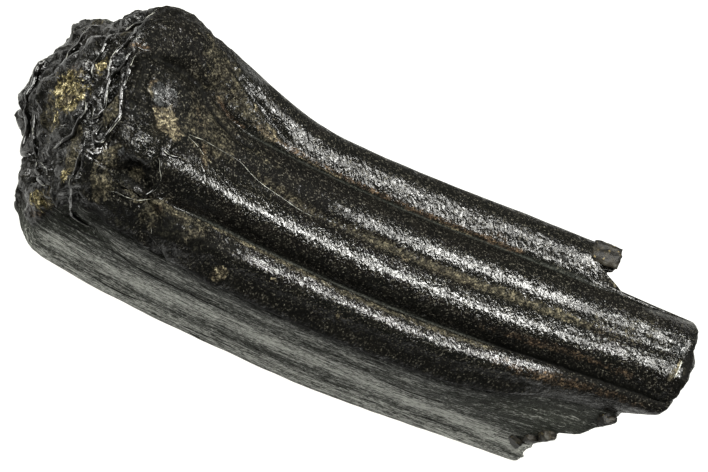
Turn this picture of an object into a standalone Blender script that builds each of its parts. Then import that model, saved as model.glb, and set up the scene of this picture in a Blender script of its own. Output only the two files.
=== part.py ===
# Fossil upper cheek tooth of a horse, one solid piece, lying on its cheek side.
# The tooth is a box whose grid is wrapped onto the tooth: four of its sides become the
# tongue, front, cheek and back sides, the other two the chewing end and the broken root end.
# It is first laid out along a straight axis, in millimetres, and then bent.
#   x  from the chewing end (minus) to the root end (plus)
#   y  from the front of the mouth (minus) to the back (plus)
#   z  from the cheek side (minus) to the tongue side (plus), which faces up

import math

import bmesh
import bpy
import numpy as np

# Ends, and where the three cross sections below lie along the axis
CROWN_X = -34.7              # tongue-side edge of the chewing end
ROOT_X = 41.6                # longest part of the broken root end
COLLAR_X = -28.0             # the swollen collar is at its fullest
TAPER_X = 14.0               # the root end starts to narrow
NARROW_X = 37.0              # and is at its narrowest

# Bend of the whole tooth, as radii of curvature; past STRAIGHT_X it runs on straight
BEND_BACK = 295.0
BEND_UP = 200.0
STRAIGHT_X = 18.0

# Each row is one point of the outline, in order round the tooth: its y and z at the collar,
# in the middle and at the root end, whether it is a crease, and the x where its swelling
# towards the collar begins
OUTLINE = (
    ((17.5, -1.4), (14.2, -1.2), (13.2, -0.6), False, -5),     # 0 back edge of rib A
    ((17.7, 1.8), (14.1, 1.4), (13.2, 1.6), False, -5),
    ((16.2, 4.6), (12.6, 3.2), (11.8, 3.4), False, -6),
    ((13.6, 6.0), (10.5, 3.55), (9.9, 3.6), False, -12),
    ((10.5, 5.8), (8.7, 2.9), (7.9, 3.3), True, -16),          # 4 groove between ribs A and B
    ((9.0, 6.4), (7.6, 4.5), (7.0, 4.6), False, -16),
    ((7.2, 6.9), (5.9, 5.5), (5.6, 5.4), False, -16),
    ((5.4, 7.0), (4.4, 5.6), (4.2, 5.6), False, -16),
    ((3.7, 7.0), (3.1, 5.2), (3.0, 5.4), False, -16),          # 8 shallow valley along rib B
    ((2.0, 7.2), (1.8, 5.85), (1.8, 5.8), False, -16),
    ((0.0, 7.0), (0.0, 6.1), (0.2, 5.8), False, -14),
    ((-1.8, 5.9), (-1.5, 5.2), (-1.2, 4.8), False, -14),
    ((-3.8, 4.4), (-2.7, 3.0), (-2.6, 3.2), True, -14),        # 12 groove between ribs B and C
    ((-4.4, 4.7), (-3.6, 3.6), (-3.1, 3.3), False, -14),
    ((-5.8, 3.9), (-5.2, 3.3), (-3.9, 2.6), False, -10),
    ((-7.3, 1.6), (-6.9, 1.2), (-4.4, 1.0), False, -10),
    ((-7.7, -1.6), (-7.5, -2.1), (-4.7, -1.2), True, -10),     # 16 edge of the front face
    ((-8.6, -7.0), (-8.4, -7.0), (-7.4, -7.0), False, -10),
    ((-9.6, -13.0), (-9.3, -13.0), (-9.3, -13.0), False, -10),
    ((-10.5, -18.0), (-10.2, -18.0), (-10.6, -17.6), False, -10),
    ((-9.8, -20.4), (-9.5, -20.5), (-9.7, -19.8), False, -10),  # 20 front cheek ridge
    ((-7.4, -20.7), (-7.1, -20.8), (-7.0, -19.9), False, -10),
    ((-4.6, -19.3), (-4.2, -18.9), (-4.0, -18.3), False, -10),
    ((-1.4, -19.1), (-1.4, -18.8), (-1.3, -18.2), False, -10),
    ((1.0, -20.6), (0.9, -20.3), (0.9, -19.7), False, -10),
    ((2.8, -21.3), (2.4, -21.0), (2.3, -20.4), False, -10),    # 25 middle cheek ridge
    ((4.6, -20.6), (3.9, -20.3), (3.8, -19.7), False, -10),
    ((7.2, -19.1), (6.2, -18.7), (6.0, -18.1), False, -10),
    ((10.8, -19.1), (9.4, -18.7), (9.0, -18.1), False, -10),
    ((14.4, -20.5), (12.2, -20.7), (11.6, -19.5), False, -10),
    ((17.0, -20.5), (14.2, -20.7), (13.4, -19.5), False, -10),
    ((18.0, -18.0), (15.0, -18.2), (14.2, -17.6), False, -10),  # 31 back cheek ridge
    ((17.6, -13.0), (14.4, -13.0), (13.6, -12.8), False, -8),
    ((17.2, -7.0), (14.0, -7.0), (13.2, -7.0), False, -6),
)
SECTION_CENTRE = np.array((2.6, -8.0))

# The flat that the ridges of the cheek side are worn to, and that the tooth rests on
WORN_Z = -20.3

# Grid lines of each side, given as places in the outline; they crowd where it turns most
GRID_LINES = (
    (0, 0.8, 1.5, 2.2, 2.9, 3.4, 3.8, 4, 4.8, 5.6, 6.4, 7.2, 8, 9, 10, 11, 12, 13, 14, 15, 16),
    (16, 16.3, 16.6, 16.9, 17.2, 17.5, 17.8, 18.1, 18.4, 18.7, 19, 19.4, 19.8, 20),
    (20, 20.5, 21, 21.6, 22.2, 22.8, 23.4, 24, 24.5, 25, 25.5, 26, 26.6, 27.2, 27.8, 28.4,
     29, 29.5, 30, 30.5, 31),
    (31, 31.2, 31.5, 31.8, 32.1, 32.4, 32.7, 33, 33.2, 33.4, 33.55, 33.7, 33.85, 34),
)
LENGTH_STEPS = 54
CROWDING = 0.6               # how much closer the rings stand near both ends

# Lumps (plus) and hollows (minus) of the sides:
# x, place in the outline, half length, half width in outline places, height
SIDE_RELIEF = {
    "bulge of the collar": (-29.2, 2.5, 4.2, 1.5, 0.4),
    "worn collar": (-29.0, 9.0, 4.0, 3.4, -0.3),
    "chip, upper part": (-29.6, 6.3, 1.7, 1.0, -0.5),
    "chip, lower part": (-27.6, 7.7, 1.7, 1.0, -0.4),
    "collar lump": (-29.2, 9.8, 1.6, 0.9, 1.0),
    "collar hollow": (-32.4, 8.2, 1.4, 1.0, -0.6),
    "deep pit": (-28.7, 11.9, 1.9, 0.8, -1.5),
    "ridge behind the pit": (-25.6, 11.3, 0.9, 1.3, 0.5),
    "first lump of rib C": (-22.3, 14.1, 1.7, 1.0, 0.6),
    "second lump of rib C": (-18.2, 14.3, 1.8, 0.9, 0.4),
    "third lump of rib C": (-13.8, 15.0, 1.4, 0.8, 0.4),
    "dip before rib C": (-25.0, 14.2, 1.4, 1.6, -0.5),
    "undercut of the front face": (-30.6, 16.9, 5.0, 0.35, -0.9),
    "hollow of the back face": (2.0, 32.6, 60.0, 0.9, -0.6),
    "front cheek furrow": (-22.0, 22.6, 16.0, 0.8, -0.4),
    "back cheek furrow": (20.0, 28.0, 18.0, 0.9, -0.4),
}

# The same on the chewing end: y, z, half length, half width, turn in degrees, height
CROWN_RELIEF = {
    "lake of the tongue-side loop": (3.4, 5.0, 5.0, 1.1, -2, -1.1),
    "filled hollow": (3.2, -1.6, 4.4, 2.6, 0, -1.1),
    "crest over the filled hollow": (7.0, 1.9, 4.2, 0.9, -18, 0.5),
    "front fossette": (-2.4, -8.0, 3.2, 1.8, 25, -0.9),
    "back fossette": (9.2, -7.4, 3.4, 1.7, -15, -1.0),
    "middle crest": (3.0, -9.0, 1.2, 3.2, 8, 0.6),
    "cheek wall, front half": (-3.6, -14.6, 3.6, 1.4, 10, 0.6),
    "cheek wall, back half": (9.0, -14.4, 4.0, 1.4, -8, 0.7),
    "knob on the cheek wall": (3.4, -15.6, 1.6, 1.6, 0, 1.0),
    "front wall": (-6.2, -8.0, 1.8, 5.2, 8, 0.4),
}

# And on the broken root end
ROOT_RELIEF = {
    "pulp hollow": (3.4, -7.6, 3.6, 3.2, 30, -2.0),
    "front splinter": (-6.4, -12.4, 1.7, 2.0, 0, 1.2),
    "notch by the front splinter": (-6.0, -8.0, 1.8, 1.4, 0, -1.2),
    "back splinter": (10.2, -13.6, 2.0, 2.0, 0, 1.4),
    "notch under rib B": (0.6, -1.0, 2.4, 1.3, 10, -0.8),
    "lip of rib B": (3.4, 4.2, 4.0, 1.0, 0, 0.4),
}
RELIEF_DEPTH = 3.0           # the relief of an end fades out over this length of the sides

# Rounding of the chewing end's edge, as radii at places in the outline, and of the root end's
CROWN_EDGE = ((0, 2, 5, 15, 17, 20, 22, 30, 32, 34), (5.8, 4.6, 1.0, 1.0, 2.6, 4.8, 2.4, 3.0, 5.4, 5.8))
ROOT_EDGE = 0.8
EDGE_PULL = 0.9              # share of the rounding that is taken off the outline

# Moves the bent tooth so that the middle of its underside is the origin
AXIS_PLACE = np.array((-1.05, -4.79, 20.3))

MM = 0.001
SECTIONS = np.array([row[:3] for row in OUTLINE], float).transpose(1, 0, 2)
CREASES = np.array([row[3] for row in OUTLINE])
SWELLS_FROM = np.array([row[4] for row in OUTLINE], float)
POINTS = len(OUTLINE)


def smooth(start, end, value):
    # 0 before start, 1 after end, and an easy rise between
    t = np.clip((value - start) / (end - start), 0, 1)
    return t * t * (3 - 2 * t)


def outline_at(points, q):
    # Place and outward direction of a smooth closed curve through the points, broken at creases
    index = np.floor(q).astype(int)
    u = (q - index)[:, None]
    row = np.arange(len(q))
    before, here, after, later = (points[row, (index + k) % POINTS] for k in (-1, 0, 1, 2))
    leave = np.where(CREASES[index % POINTS][:, None], after - here, (after - before) / 2)
    arrive = np.where(CREASES[(index + 1) % POINTS][:, None], after - here, (later - here) / 2)
    place = here + u * leave + u**2 * (3 * (after - here) - 2 * leave - arrive)
    place += u**3 * (2 * (here - after) + leave + arrive)
    along = leave + 2 * u * (3 * (after - here) - 2 * leave - arrive)
    along += 3 * u**2 * (2 * (here - after) + leave + arrive)
    outward = np.column_stack([along[:, 1], -along[:, 0]])
    return place, outward / np.linalg.norm(outward, axis=1)[:, None]


def chewing_end(y, z):
    # The chewing end bulges towards its middle, stands further out on the cheek side, and
    # falls back at its upper back corner and at the front corner of the cheek side
    bulge = 3.4 * np.exp(-(((y - 6.2) / 7.4) ** 2)) * smooth(6, 0, z)
    back_corner = 1.6 * smooth(12.5, 17.5, y) * smooth(-12, -3, z)
    front_corner = 2.0 * smooth(-6.5, -10.5, y) * smooth(-11, -17, z)
    return CROWN_X - bulge - 1.4 * smooth(5, -3, z) + back_corner + front_corner


def root_end(y, z):
    # The root end is broken off slanting, and rib A shorter than the rest with a stub left over
    x = ROOT_X + 0.5 * smooth(6, 0, y)
    x -= 4.0 * smooth(-1.5, -5.0, y) * smooth(4, -1, z)
    x -= 5.0 * smooth(-2, -12, z)
    slant = -2.6 * np.clip(y - 8.2, 0, 2.6) + 4.6 * smooth(10.9, 11.6, y)
    rib_a = 32.8 + slant * smooth(-6, -1, z) - 2.5 * smooth(0, -10, z)
    return x + smooth(7.95, 8.35, y) * (rib_a - x)


def side_relief(x, q):
    height = np.zeros_like(x)
    for mid_x, mid_q, half_x, half_q, rise in SIDE_RELIEF.values():
        off = (q - mid_q + POINTS / 2) % POINTS - POINTS / 2
        height += rise * np.exp(-(((x - mid_x) / half_x) ** 2 + (off / half_q) ** 2) ** 1.5)
    return height


def end_relief(y, z, relief):
    height = np.zeros_like(y)
    for mid_y, mid_z, half_long, half_wide, turn, rise in relief.values():
        c, s = math.cos(math.radians(turn)), math.sin(math.radians(turn))
        along = (y - mid_y) * c + (z - mid_z) * s
        across = (z - mid_z) * c - (y - mid_y) * s
        height += rise * np.exp(-((along / half_long) ** 2 + (across / half_wide) ** 2) ** 1.5)
    return height


def quarter_round(distance, radius):
    # How far an edge of this radius has drawn in, this far from the end
    t = 1 - np.clip(distance / radius, 0, 1)
    return radius * (1 - np.sqrt(1 - t * t))


def wrap(t, q, m):
    # t: 0 at the chewing end, 1 at the root end; q: place in the outline; m: 0 centre, 1 outline
    x = CROWN_X + (ROOT_X - CROWN_X) * t
    collar, middle, root = SECTIONS
    for _ in range(3):
        swell = smooth(0, 1, (x[:, None] - SWELLS_FROM) / (COLLAR_X - SWELLS_FROM))[..., None]
        narrow = smooth(TAPER_X, NARROW_X, x)[:, None, None]
        points = middle + swell * (collar - middle) + narrow * (root - middle)
        rim, outward = outline_at(points, q)
        flat = SECTION_CENTRE + (rim - SECTION_CENTRE) * m[:, None]
        start, stop = chewing_end(*flat.T), root_end(*flat.T)
        x = start + (stop - start) * t
    flat = flat + outward * (m**4 * side_relief(x, q))[:, None]

    drawn_in = quarter_round(x - start, np.interp(q, *CROWN_EDGE)) + quarter_round(stop - x, ROOT_EDGE)
    size = np.linalg.norm(rim - SECTION_CENTRE, axis=1)
    flat = SECTION_CENTRE + (flat - SECTION_CENTRE) * (1 - EDGE_PULL * drawn_in / size)[:, None]
    y, z = flat.T
    crown_relief, root_relief = end_relief(y, z, CROWN_RELIEF), end_relief(y, z, ROOT_RELIEF)
    x = x - crown_relief * np.clip(1 - (x - start) / RELIEF_DEPTH, 0, 1) ** 2
    x = x + root_relief * np.clip(1 - (stop - x) / RELIEF_DEPTH, 0, 1) ** 2

    bend = np.where(x < STRAIGHT_X, x**2, STRAIGHT_X * (2 * x - STRAIGHT_X)) / 2
    z = np.maximum(z + bend / BEND_UP, WORN_Z)
    return np.column_stack([x, y + bend / BEND_BACK, z])


def round_place(across, down):
    # From a place on the box's section to a place in the outline and a share of the way out to it
    m = np.maximum(abs(across), abs(down))
    reach = np.where(m > 0, m, 1)
    across, down = across / reach, down / reach
    on_side = [down <= -1, across >= 1, down >= 1]
    side = np.select(on_side, [0, 1, 2], 3)
    run = np.select(on_side, [1 + across, 1 + down, 1 - across], 1 - down) / 2
    q = np.zeros_like(across)
    for k, lines in enumerate(GRID_LINES):
        here = side == k
        q[here] = np.interp(run[here] * (len(lines) - 1), range(len(lines)), lines)
    return q % POINTS, m


def gridded_box(bm):
    # A box of size 2 with its faces cut to a grid; cuts are made one direction at a time
    bmesh.ops.create_cube(bm, size=2)
    steps = (LENGTH_STEPS, len(GRID_LINES[0]) - 1, len(GRID_LINES[1]) - 1)
    for axis, count in enumerate(steps):
        along = [e for e in bm.edges if e.verts[0].co[axis] * e.verts[1].co[axis] < 0]
        bmesh.ops.subdivide_edges(bm, edges=along, cuts=count - 1, use_grid_fill=True)


def make_tooth():
    bm = bmesh.new()
    gridded_box(bm)
    box = np.array([v.co for v in bm.verts])
    s = (box[:, 0] + 1) / 2
    t = s - CROWDING * np.sin(2 * np.pi * s) / (2 * np.pi)
    q, m = round_place(-box[:, 1], -box[:, 2])
    for vert, place in zip(bm.verts, (wrap(t, q, m) + AXIS_PLACE) * MM):
        vert.co = place
    bmesh.ops.recalc_face_normals(bm, faces=bm.faces)

    mesh = bpy.data.meshes.new("horse_tooth")
    bm.to_mesh(mesh)
    bm.free()
    mesh.shade_smooth()
    mesh.set_sharp_from_angle(angle=math.radians(40))
    tooth = bpy.data.objects.new("horse_tooth", mesh)
    bpy.context.scene.collection.objects.link(tooth)
    return tooth


def black_enamel():
    material = bpy.data.materials.new("black enamel")
    material.use_nodes = True
    shader = material.node_tree.nodes["Principled BSDF"]
    shader.inputs["Base Color"].default_value = (0.026, 0.024, 0.020, 1)
    shader.inputs["Roughness"].default_value = 0.35
    shader.inputs["Metallic"].default_value = 0.0
    return material


for old in list(bpy.data.objects):
    bpy.data.objects.remove(old, do_unlink=True)
make_tooth().data.materials.append(black_enamel())
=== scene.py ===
import math

import bmesh
import bpy
import numpy as np
from mathutils import Matrix, Vector, noise
from mathutils.bvhtree import BVHTree


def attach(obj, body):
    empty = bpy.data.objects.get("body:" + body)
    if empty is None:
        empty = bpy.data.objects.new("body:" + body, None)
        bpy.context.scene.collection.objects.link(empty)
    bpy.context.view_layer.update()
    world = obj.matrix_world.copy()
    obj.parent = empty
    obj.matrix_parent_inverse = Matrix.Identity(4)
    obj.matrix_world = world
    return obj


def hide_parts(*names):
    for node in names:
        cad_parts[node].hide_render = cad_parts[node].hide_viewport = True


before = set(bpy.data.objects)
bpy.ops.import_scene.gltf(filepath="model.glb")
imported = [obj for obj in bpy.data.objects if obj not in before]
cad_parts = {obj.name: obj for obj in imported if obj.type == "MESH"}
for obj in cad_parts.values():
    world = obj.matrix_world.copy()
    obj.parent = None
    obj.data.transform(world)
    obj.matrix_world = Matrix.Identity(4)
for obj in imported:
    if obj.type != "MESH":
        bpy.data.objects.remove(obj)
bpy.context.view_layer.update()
mm = 0.001

# form of the tooth, as in the solid
form = {
    "crownX": -34.7,             # tongue-side edge of the chewing end
    "rootX": 41.6,               # longest part of the broken root end
    "collarX": -28.0,            # the swollen collar is at its fullest
    "taperX": 14.0,              # the root end starts to narrow
    "narrowX": 37.0,             # and is at its narrowest
    "bendBack": 295.0,           # radii of the bend; past straightX the tooth runs on straight
    "bendUp": 200.0,
    "straightX": 18.0,
    "centre": (2.6, -8.0),
    "wornZ": -20.3,              # the flat that the cheek ridges are worn to
    "place": (-1.05, -4.79, 20.3),
    "creases": (4, 12, 16),      # points of the outline where it is sharply folded
    "reliefDepth": 3.0,          # lumps of the two ends fade out over this
    # radius of the rounded edge of the chewing end by place round the outline, and of the root end
    "crownEdge": ((0, 2, 5, 15, 17, 20, 22, 30, 32, 34),
                  (5.8, 4.6, 1.0, 1.0, 2.6, 4.8, 2.4, 3.0, 5.4, 5.8)),
    "rootEdge": 0.8,
    "edgePull": 0.9,             # how far these draw the outline in
}

# One row for each point round the tooth: its y and z at the collar, in the middle and at the
# root end, and the x where its swelling towards the collar begins
outline = (
    ((17.5, -1.4), (14.2, -1.2), (13.2, -0.6), -5),  # 0 back edge of rib A
    ((17.7, 1.8), (14.1, 1.4), (13.2, 1.6), -5),
    ((16.2, 4.6), (12.6, 3.2), (11.8, 3.4), -6),
    ((13.6, 6), (10.5, 3.55), (9.9, 3.6), -12),
    ((10.5, 5.8), (8.7, 2.9), (7.9, 3.3), -16),  # 4 groove between ribs A and B
    ((9, 6.4), (7.6, 4.5), (7, 4.6), -16),
    ((7.2, 6.9), (5.9, 5.5), (5.6, 5.4), -16),
    ((5.4, 7), (4.4, 5.6), (4.2, 5.6), -16),
    ((3.7, 7), (3.1, 5.2), (3, 5.4), -16),  # 8 shallow valley along rib B
    ((2, 7.2), (1.8, 5.85), (1.8, 5.8), -16),
    ((0, 7), (0, 6.1), (0.2, 5.8), -14),
    ((-1.8, 5.9), (-1.5, 5.2), (-1.2, 4.8), -14),
    ((-3.8, 4.4), (-2.7, 3), (-2.6, 3.2), -14),  # 12 groove between ribs B and C
    ((-4.4, 4.7), (-3.6, 3.6), (-3.1, 3.3), -14),
    ((-5.8, 3.9), (-5.2, 3.3), (-3.9, 2.6), -10),
    ((-7.3, 1.6), (-6.9, 1.2), (-4.4, 1), -10),
    ((-7.7, -1.6), (-7.5, -2.1), (-4.7, -1.2), -10),  # 16 edge of the front face
    ((-8.6, -7), (-8.4, -7), (-7.4, -7), -10),
    ((-9.6, -13), (-9.3, -13), (-9.3, -13), -10),
    ((-10.5, -18), (-10.2, -18), (-10.6, -17.6), -10),
    ((-9.8, -20.4), (-9.5, -20.5), (-9.7, -19.8), -10),  # 20 front cheek ridge
    ((-7.4, -20.7), (-7.1, -20.8), (-7, -19.9), -10),
    ((-4.6, -19.3), (-4.2, -18.9), (-4, -18.3), -10),
    ((-1.4, -19.1), (-1.4, -18.8), (-1.3, -18.2), -10),
    ((1, -20.6), (0.9, -20.3), (0.9, -19.7), -10),
    ((2.8, -21.3), (2.4, -21), (2.3, -20.4), -10),  # 25 middle cheek ridge
    ((4.6, -20.6), (3.9, -20.3), (3.8, -19.7), -10),
    ((7.2, -19.1), (6.2, -18.7), (6, -18.1), -10),
    ((10.8, -19.1), (9.4, -18.7), (9, -18.1), -10),
    ((14.4, -20.5), (12.2, -20.7), (11.6, -19.5), -10),
    ((17, -20.5), (14.2, -20.7), (13.4, -19.5), -10),
    ((18, -18), (15, -18.2), (14.2, -17.6), -10),  # 31 back cheek ridge
    ((17.6, -13), (14.4, -13), (13.6, -12.8), -8),
    ((17.2, -7), (14, -7), (13.2, -7), -6),
)

# Lumps (plus) and hollows (minus): x, place round the outline, half length, half width, height
sideLumps = {
    "bulge of the collar": (-29.2, 2.5, 4.2, 1.5, 0.4),
    "worn collar": (-29, 9, 4, 3.4, -0.3),
    "chip, upper part": (-29.6, 6.3, 1.7, 1, -0.5),
    "chip, lower part": (-27.6, 7.7, 1.7, 1, -0.4),
    "collar lump": (-29.2, 10.1, 1.9, 1.2, 1),
    "collar hollow": (-32.4, 8.2, 1.4, 1, -0.6),
    "deep pit": (-28.4, 11.8, 1.9, 0.9, -0.9),
    "ridge behind the pit": (-25.6, 11.3, 0.9, 1.3, 0.5),
    "first lump of rib C": (-22.3, 14.1, 1.7, 1, 0.6),
    "second lump of rib C": (-18.2, 14.3, 1.8, 0.9, 0.4),
    "third lump of rib C": (-13.8, 15, 1.4, 0.8, 0.4),
    "dip before rib C": (-25, 14.2, 1.4, 1.6, -0.5),
    "undercut of the front face": (-30.6, 16.9, 5, 0.35, -0.9),
    "dome of the collar": (-29.2, 10.3, 3.4, 2.2, 0.5),
    "fold of rib A": (-24.6, 2.4, 3.4, 0.45, 0.35),
    "hollow beside the fold": (-22, 1.7, 3, 0.6, -0.35),
    "lump of rib A": (-28.4, 2.9, 1.8, 0.9, 0.3),
    "lump at crease 1": (-25.2, 3.6, 1.8, 0.5, 0.3),
    "lump over rib B": (-22.3, 7, 1.8, 0.9, 0.35),
    "hollow over the seam": (-19.5, 6, 2, 0.9, -0.3),
    "lump at the arc": (-24.6, 13.2, 1.3, 0.8, 0.4),
    "hollow of the back face": (2, 32.6, 60, 0.9, -0.6),
    "front cheek furrow": (-22, 22.6, 16, 0.8, -0.4),
    "back cheek furrow": (20, 28, 18, 0.9, -0.4),
}

# The same on the two ends: y, z, half length, half width, turn in degrees, height
crownLumps = {
    "lake of the tongue-side loop": (3.4, 5, 5, 1.1, -2, -1.1),
    "filled hollow": (3.2, -1.6, 4.4, 2.6, 0, -1.1),
    "crest over the filled hollow": (7, 1.9, 4.2, 0.9, -18, 0.5),
    "front fossette": (-2.4, -8, 3.2, 1.8, 25, -0.9),
    "back fossette": (9.2, -7.4, 3.4, 1.7, -15, -1),
    "middle crest": (3, -9, 1.2, 3.2, 8, 0.6),
    "cheek wall, front half": (-3.6, -14.6, 3.6, 1.4, 10, 0.6),
    "cheek wall, back half": (9, -14.4, 4, 1.4, -8, 0.7),
    "knob on the cheek wall": (3.4, -15.6, 1.6, 1.6, 0, 1),
    "front wall": (-6.2, -8, 1.8, 5.2, 8, 0.4),
}
rootLumps = {
    "pulp hollow": (3.4, -7.6, 3.6, 3.2, 30, -2),
    "front splinter": (-6.4, -12.4, 1.7, 2, 0, 1.2),
    "notch by the front splinter": (-6, -8, 1.8, 1.4, 0, -1.2),
    "back splinter": (10.2, -13.6, 2, 2, 0, 1.4),
    "notch under rib B": (0.6, -1, 2.4, 1.3, 10, -0.8),
    "lip of rib B": (3.4, 4.2, 4, 1, 0, 0.4),
}

sections = np.array([row[:3] for row in outline], float).transpose(1, 0, 2)
swellsFrom = np.array([row[3] for row in outline], float)
centre = np.array(form["centre"])
around = len(outline)
creased = np.isin(range(around), form["creases"])


def smooth(start, end, value):
    # 0 before start, 1 after end, and an easy rise between
    t = np.clip((value - start) / (end - start), 0, 1)
    return t * t * (3 - 2 * t)


def span(value, start, full, fading, end):
    # 1 from full to fading, and 0 outside start and end
    return smooth(start, full, value) * smooth(end, fading, value)


def outlinePoint(index, x):
    index = index % around
    collar, middle, root = (section[index] for section in sections)
    swell = smooth(0, 1, (x - swellsFrom[index]) / (form["collarX"] - swellsFrom[index]))[:, None]
    narrow = smooth(form["taperX"], form["narrowX"], x)[:, None]
    return middle + swell * (collar - middle) + narrow * (root - middle)


def outlineAt(q, x):
    # Place and outward direction on a smooth closed curve through the points, broken at creases
    index = np.floor(q).astype(int)
    u = (q - index)[:, None]
    before, here, after, later = (outlinePoint(index + k, x) for k in (-1, 0, 1, 2))
    leave = np.where(creased[index % around][:, None], after - here, (after - before) / 2)
    arrive = np.where(creased[(index + 1) % around][:, None], after - here, (later - here) / 2)
    place = here + u * leave + u**2 * (3 * (after - here) - 2 * leave - arrive)
    place += u**3 * (2 * (here - after) + leave + arrive)
    along = leave + 2 * u * (3 * (after - here) - 2 * leave - arrive)
    along += 3 * u**2 * (2 * (here - after) + leave + arrive)
    outward = np.column_stack([along[:, 1], -along[:, 0]])
    return place, outward / np.linalg.norm(outward, axis=1)[:, None]


def onOutline(points):
    # From (x, place round the outline) points to (x, y, z) ones
    x, q = np.array(points, float).T
    return np.column_stack([x, outlineAt(q, x)[0]])


# the faces of the two ends: each step is how far it goes along x, and the y and z that it sets in over
crownSteps = {
    "low part": (-1.4, None, (5, -3)),
    "back corner": (1.6, (12.5, 17.5), (-12, -3)),
    "front corner": (2, (-6.5, -10.5), (-11, -17)),
}
crownBulge = (6.2, 7.4, 3.4, (6, 0))     # middle y, half width, height, and the z that it sets in over
rootSteps = {
    "rib B": (0.5, (6, 0), None),
    "front part": (-4, (-1.5, -5), (4, -1)),
    "low part": (-5, None, (-2, -12)),
}
# the broken end of rib A: the y that it takes over at, its x, and its slant towards the back
ribAEnd = {
    "over": (7.95, 8.35), "x": 32.8, "slope": -1.75, "slopeFrom": 8.2, "slopeLength": 2.4,
    "notch": (1.8, (10.7, 11.1)), "slantOver": (-6, -1), "low part": (-2.5, (0, -10)),
}


def ridge(value, middle, half, rise):
    return rise * np.exp(-(((value - middle) / half) ** 2))


def endSteps(y, z, steps):
    return sum(rise * (smooth(*overY, y) if overY else 1) * (smooth(*overZ, z) if overZ else 1)
               for rise, overY, overZ in steps.values())


def chewingEnd(y, z):
    middle, half, rise, over = crownBulge
    return form["crownX"] + endSteps(y, z, crownSteps) - ridge(y, middle, half, rise) * smooth(*over, z)


def rootEnd(y, z):
    x = form["rootX"] + endSteps(y, z, rootSteps)
    notch, low = ribAEnd["notch"], ribAEnd["low part"]
    slant = ribAEnd["slope"] * np.clip(y - ribAEnd["slopeFrom"], 0, ribAEnd["slopeLength"])
    slant += notch[0] * smooth(*notch[1], y)
    ribA = ribAEnd["x"] + slant * smooth(*ribAEnd["slantOver"], z) + low[0] * smooth(*low[1], z)
    return x + smooth(*ribAEnd["over"], y) * (ribA - x)


def roundOff(q, middle):
    # How far a place round the outline is from another, the short way
    return (q - middle + around / 2) % around - around / 2


def blob(across, along):
    return np.exp(-((across**2 + along**2) ** 1.5))


def sideRelief(x, q):
    height = np.zeros_like(x)
    for midX, midQ, halfX, halfQ, rise in sideLumps.values():
        height += rise * blob((x - midX) / halfX, roundOff(q, midQ) / halfQ)
    return height


def endBlob(y, z, midY, midZ, halfLong, halfWide, turn):
    c, s = math.cos(math.radians(turn)), math.sin(math.radians(turn))
    along, across = (y - midY) * c + (z - midZ) * s, (z - midZ) * c - (y - midY) * s
    return blob(across / halfWide, along / halfLong)


def endRelief(y, z, lumps):
    return sum(rise * endBlob(y, z, *shape) for *shape, rise in lumps.values())


def quarterRound(distance, radius):
    t = 1 - np.clip(distance / radius, 0, 1)
    return radius * (1 - np.sqrt(1 - t * t))


def wrap(t, q, m):
    # t: 0 at the chewing end, 1 at the root end; q: place round the outline; m: 0 centre, 1 outline
    x = form["crownX"] + (form["rootX"] - form["crownX"]) * t
    for _ in range(3):
        rim, outward = outlineAt(q, x)
        flat = centre + (rim - centre) * m[:, None]
        start, stop = chewingEnd(*flat.T), rootEnd(*flat.T)
        x = start + (stop - start) * t
    flat = flat + outward * (m**4 * sideRelief(x, q))[:, None]

    drawnIn = quarterRound(x - start, np.interp(q, *form["crownEdge"]))
    drawnIn = drawnIn + quarterRound(stop - x, form["rootEdge"])
    size = np.linalg.norm(rim - centre, axis=1)
    flat = centre + (flat - centre) * (1 - form["edgePull"] * drawnIn / size)[:, None]
    y, z = flat.T
    fade = form["reliefDepth"]
    x = x - endRelief(y, z, crownLumps) * np.clip(1 - (x - start) / fade, 0, 1) ** 2
    x = x + endRelief(y, z, rootLumps) * np.clip(1 - (stop - x) / fade, 0, 1) ** 2
    return np.column_stack([x, y, z])


def bent(places):
    # From the straight axis to where the tooth lies, still in millimetres
    x, y, z = np.asarray(places, float).T
    straight = form["straightX"]
    bend = np.where(x < straight, x**2, straight * (2 * x - straight)) / 2
    z = np.maximum(z + bend / form["bendUp"], form["wornZ"])
    return np.column_stack([x, y + bend / form["bendBack"], z]) + form["place"]


grid = {
    # share of the rings laid, and where along the tooth that brings them
    "rings": ((0, 0.42, 0.86, 1), (0, 0.225, 0.88, 1)),
    "ringCount": 245,
    "crownCuts": 2,              # extra cuts of each cell of the chewing end
    # cells from each outline point to the next: tongue side, front, cheek and back
    "tongue": (8, 8, 8, 8, 7, 7, 5, 5, 5, 6, 6, 8, 6, 6, 8, 11),
    "front": (14, 10, 10, 10),
    "cheek": (11, 10, 10, 10, 10, 10, 10, 10, 10, 10, 11),
    "back": (15, 14, 15),
}


def gridLines(first, cells):
    return np.interp(np.arange(sum(cells) + 1), np.cumsum((0,) + cells), first + np.arange(len(cells) + 1))


sideLines = [gridLines(0, grid["tongue"]), gridLines(16, grid["front"]),
             gridLines(20, grid["cheek"]), gridLines(31, grid["back"])]


def roundPlace(across, down):
    # From a place on the box's section to a place round the outline and a share of the way out
    m = np.maximum(abs(across), abs(down))
    reach = np.where(m > 0, m, 1)
    across, down = across / reach, down / reach
    onSide = [down <= -1, across >= 1, down >= 1]
    side = np.select(onSide, [0, 1, 2], 3)
    run = np.select(onSide, [1 + across, 1 + down, 1 - across], 1 - down) / 2
    q = np.zeros_like(across)
    for k, lines in enumerate(sideLines):
        here = side == k
        q[here] = np.interp(run[here] * (len(lines) - 1), range(len(lines)), lines)
    return q % around, m


def placed(name, data):
    thing = bpy.data.objects.new(name, data)
    bpy.context.scene.collection.objects.link(thing)
    return thing


def meshPiece(name, mesh):
    mesh.shade_smooth()
    print(name.replace("_", " ") + ":", len(mesh.polygons), "faces")
    return placed(name, mesh)


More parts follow.
